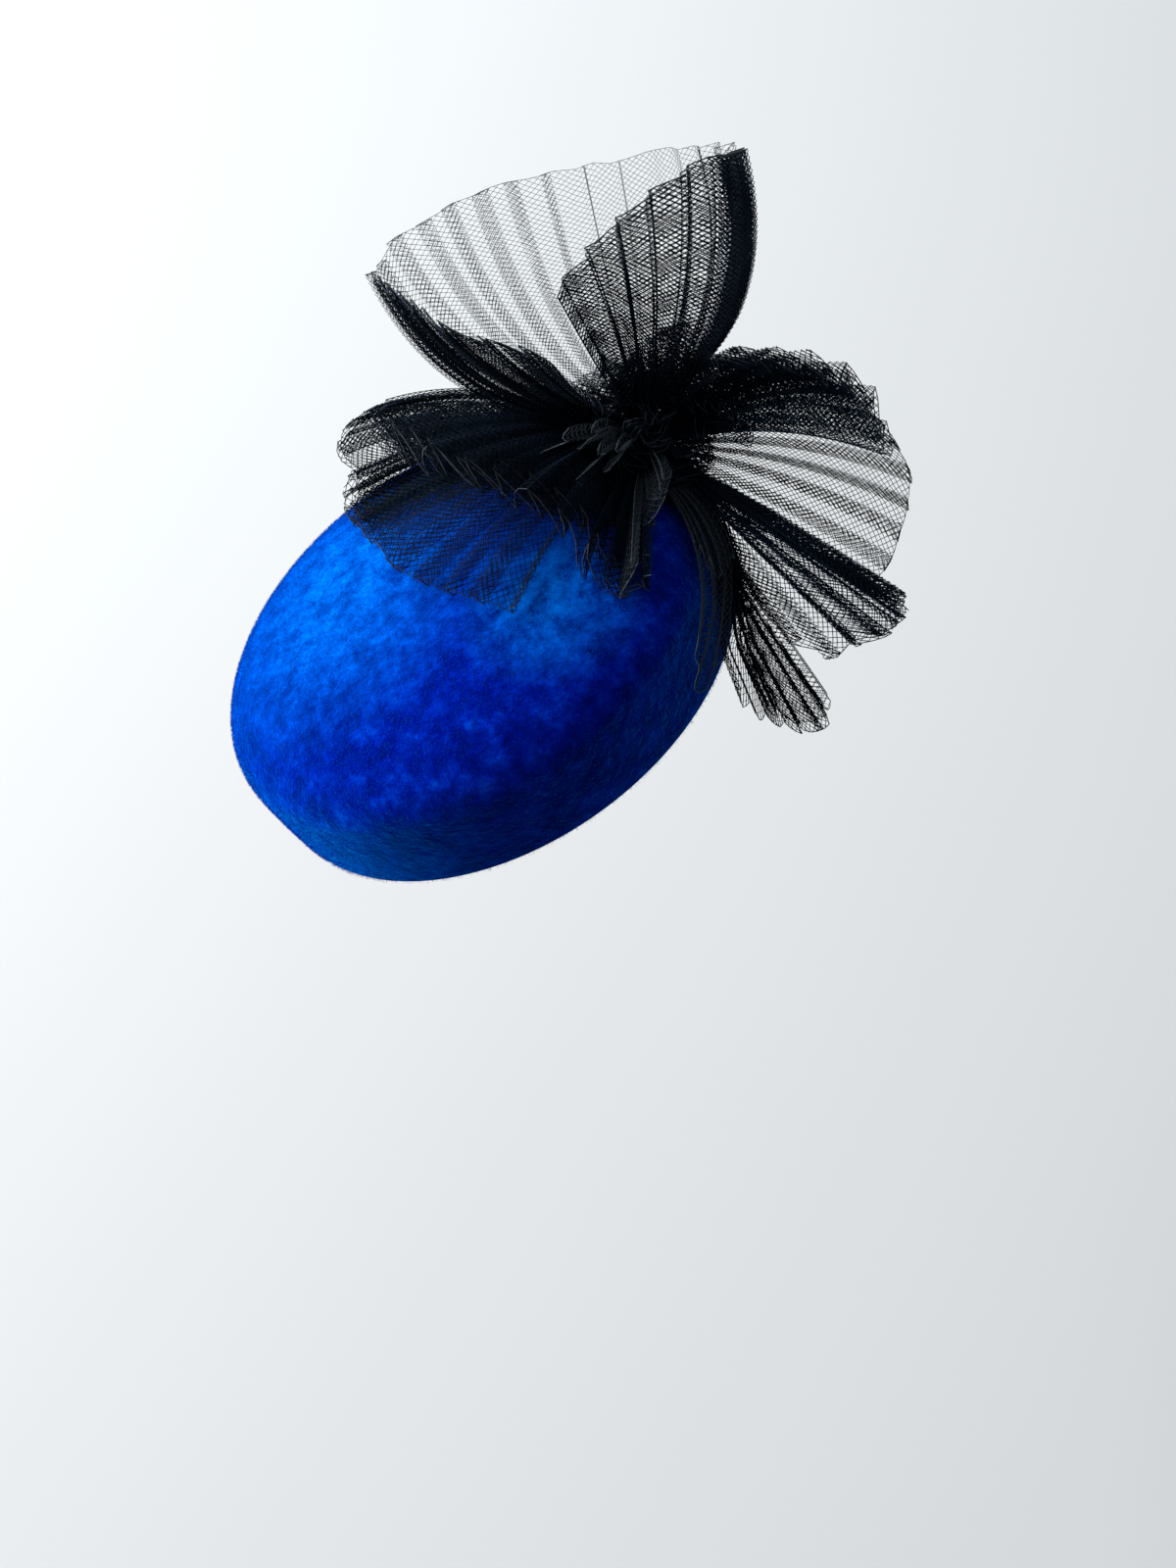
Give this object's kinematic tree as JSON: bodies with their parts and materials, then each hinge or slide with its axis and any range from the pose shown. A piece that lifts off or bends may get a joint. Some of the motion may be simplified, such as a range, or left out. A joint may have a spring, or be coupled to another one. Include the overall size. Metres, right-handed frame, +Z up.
{
  "type": "pillbox hat",
  "caption": "Oval domed pillbox hat in blue velvet, with a large gathered bow of pleated black crinoline net at one end.",
  "frame": {"origin": "middle of the oval opening, in the plane of the rim, where the hat sits on the head", "axes": "+Z up along the crown's axis, +X along the hat's long axis towards the end that carries the bow, -Y the side that faces the viewer"},
  "size_m": [0.2514, 0.1876, 0.1776],
  "materials": {
    "blue_velvet": "crushed silk velvet pile, bright at grazing light",
    "black_crinoline_net": "satin nylon strands in an open diamond net"
  },
  "bodies": {
    "root": {"crown": "blue_velvet", "trim_knot": "black_crinoline_net", "top_loop": "black_crinoline_net", "right_fan": "black_crinoline_net", "right_loop": "black_crinoline_net", "lower_leaf": "black_crinoline_net", "tail": "black_crinoline_net", "side_leaf": "black_crinoline_net", "left_fan": "black_crinoline_net", "left_back_fan": "black_crinoline_net", "front_ruffle": "black_crinoline_net", "centre_flap_1": "black_crinoline_net", "centre_flap_2": "black_crinoline_net", "centre_flap_3": "black_crinoline_net"}
  },
  "joints": []
}
